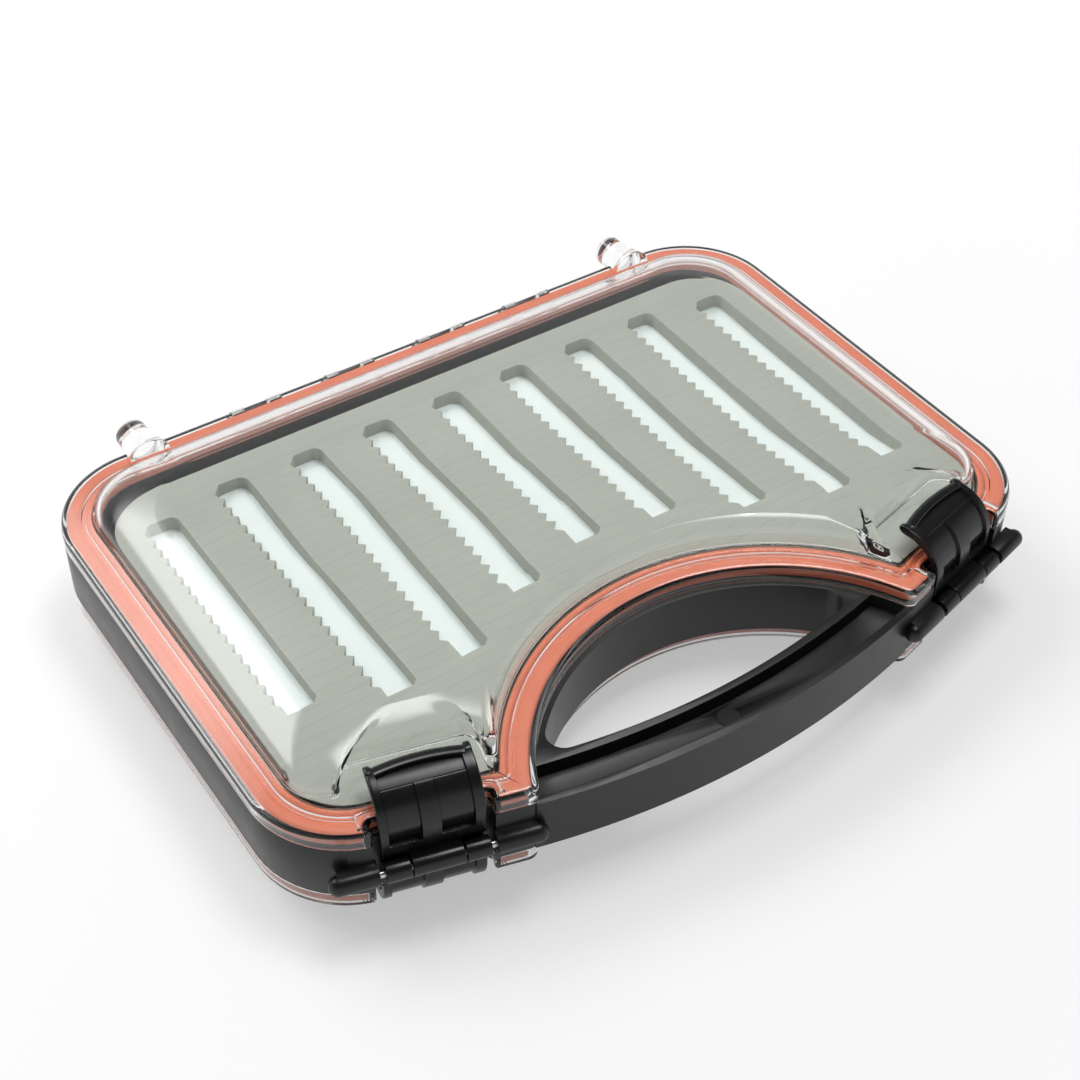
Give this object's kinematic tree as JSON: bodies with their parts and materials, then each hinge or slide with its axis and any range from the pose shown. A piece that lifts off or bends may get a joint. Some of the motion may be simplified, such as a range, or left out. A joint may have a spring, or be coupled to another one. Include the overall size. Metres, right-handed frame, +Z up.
{
  "type": "fly box",
  "caption": "Two-sided clear-lidded fishing fly box with a channelled carrying handle, snap latches, sealed rims and slit foam on both sides of a dark frame",
  "frame": {"origin": "middle of the underside of the closed box, under the centre of its bounding box; the box lies on its lower lid", "axes": "+X along the length, +Y towards the lid hinges, -Y towards the handle and the latches, +Z up through the upper lid"},
  "size_m": [0.252, 0.194, 0.0448],
  "materials": {
    "frame": "moulded near-black plastic with a grey-green tint, semi-gloss",
    "latch": "moulded near-black plastic, semi-gloss",
    "clear": "clear moulded plastic, polished",
    "gasket": "orange silicone cord, satin",
    "slit_foam": "warm grey closed-cell foam, matte",
    "foam_pad": "white closed-cell foam, matte",
    "pin": "drawn steel wire, bright"
  },
  "bodies": {
    "frame": {"frame": "frame", "top_slit_foam": "slit_foam", "bottom_slit_foam": "slit_foam", "top_foam_pad": "foam_pad", "bottom_foam_pad": "foam_pad", "latch_pin_left": "pin", "latch_pin_right": "pin", "hinge_pin_top_1": "pin", "hinge_pin_top_2": "pin", "hinge_pin_top_3": "pin", "hinge_pin_top_4": "pin", "hinge_pin_bottom_1": "pin", "hinge_pin_bottom_2": "pin", "hinge_pin_bottom_3": "pin", "hinge_pin_bottom_4": "pin"},
    "top_lid": {"top_lid": "clear", "top_gasket": "gasket"},
    "bottom_lid": {"bottom_lid": "clear", "bottom_gasket": "gasket"},
    "latch_top_left": {"latch_top_left": "latch"},
    "latch_top_right": {"latch_top_right": "latch"},
    "latch_bottom_left": {"latch_bottom_left": "latch"},
    "latch_bottom_right": {"latch_bottom_right": "latch"}
  },
  "joints": [
    {"name": "top_lid_hinge", "type": "hinge", "parent": "frame", "child": "top_lid", "pos_m": [0, 0.0901, 0.0296], "axis": [-1, 0, 0], "range_deg": [0, 90]},
    {"name": "bottom_lid_hinge", "type": "hinge", "parent": "frame", "child": "bottom_lid", "pos_m": [0, 0.0901, 0.0152], "axis": [1, 0, 0], "range_deg": [0, 90]},
    {"name": "latch_top_left_hinge", "type": "hinge", "parent": "frame", "child": "latch_top_left", "pos_m": [-0.0906, -0.0837, 0.0224], "axis": [0.9679, -0.2514, 0], "range_deg": [0, 90]},
    {"name": "latch_top_right_hinge", "type": "hinge", "parent": "frame", "child": "latch_top_right", "pos_m": [0.0906, -0.0837, 0.0224], "axis": [0.9679, 0.2514, 0], "range_deg": [0, 90]},
    {"name": "latch_bottom_left_hinge", "type": "hinge", "parent": "frame", "child": "latch_bottom_left", "pos_m": [-0.0906, -0.0837, 0.0224], "axis": [-0.9679, 0.2514, 0], "range_deg": [0, 90]},
    {"name": "latch_bottom_right_hinge", "type": "hinge", "parent": "frame", "child": "latch_bottom_right", "pos_m": [0.0906, -0.0837, 0.0224], "axis": [-0.9679, -0.2514, 0], "range_deg": [0, 90]}
  ],
  "couplings": [
    {"joint": "latch_top_left_hinge", "follows": "top_lid_hinge", "ratio": 1},
    {"joint": "latch_top_right_hinge", "follows": "top_lid_hinge", "ratio": 1},
    {"joint": "latch_bottom_left_hinge", "follows": "bottom_lid_hinge", "ratio": 1},
    {"joint": "latch_bottom_right_hinge", "follows": "bottom_lid_hinge", "ratio": 1}
  ]
}
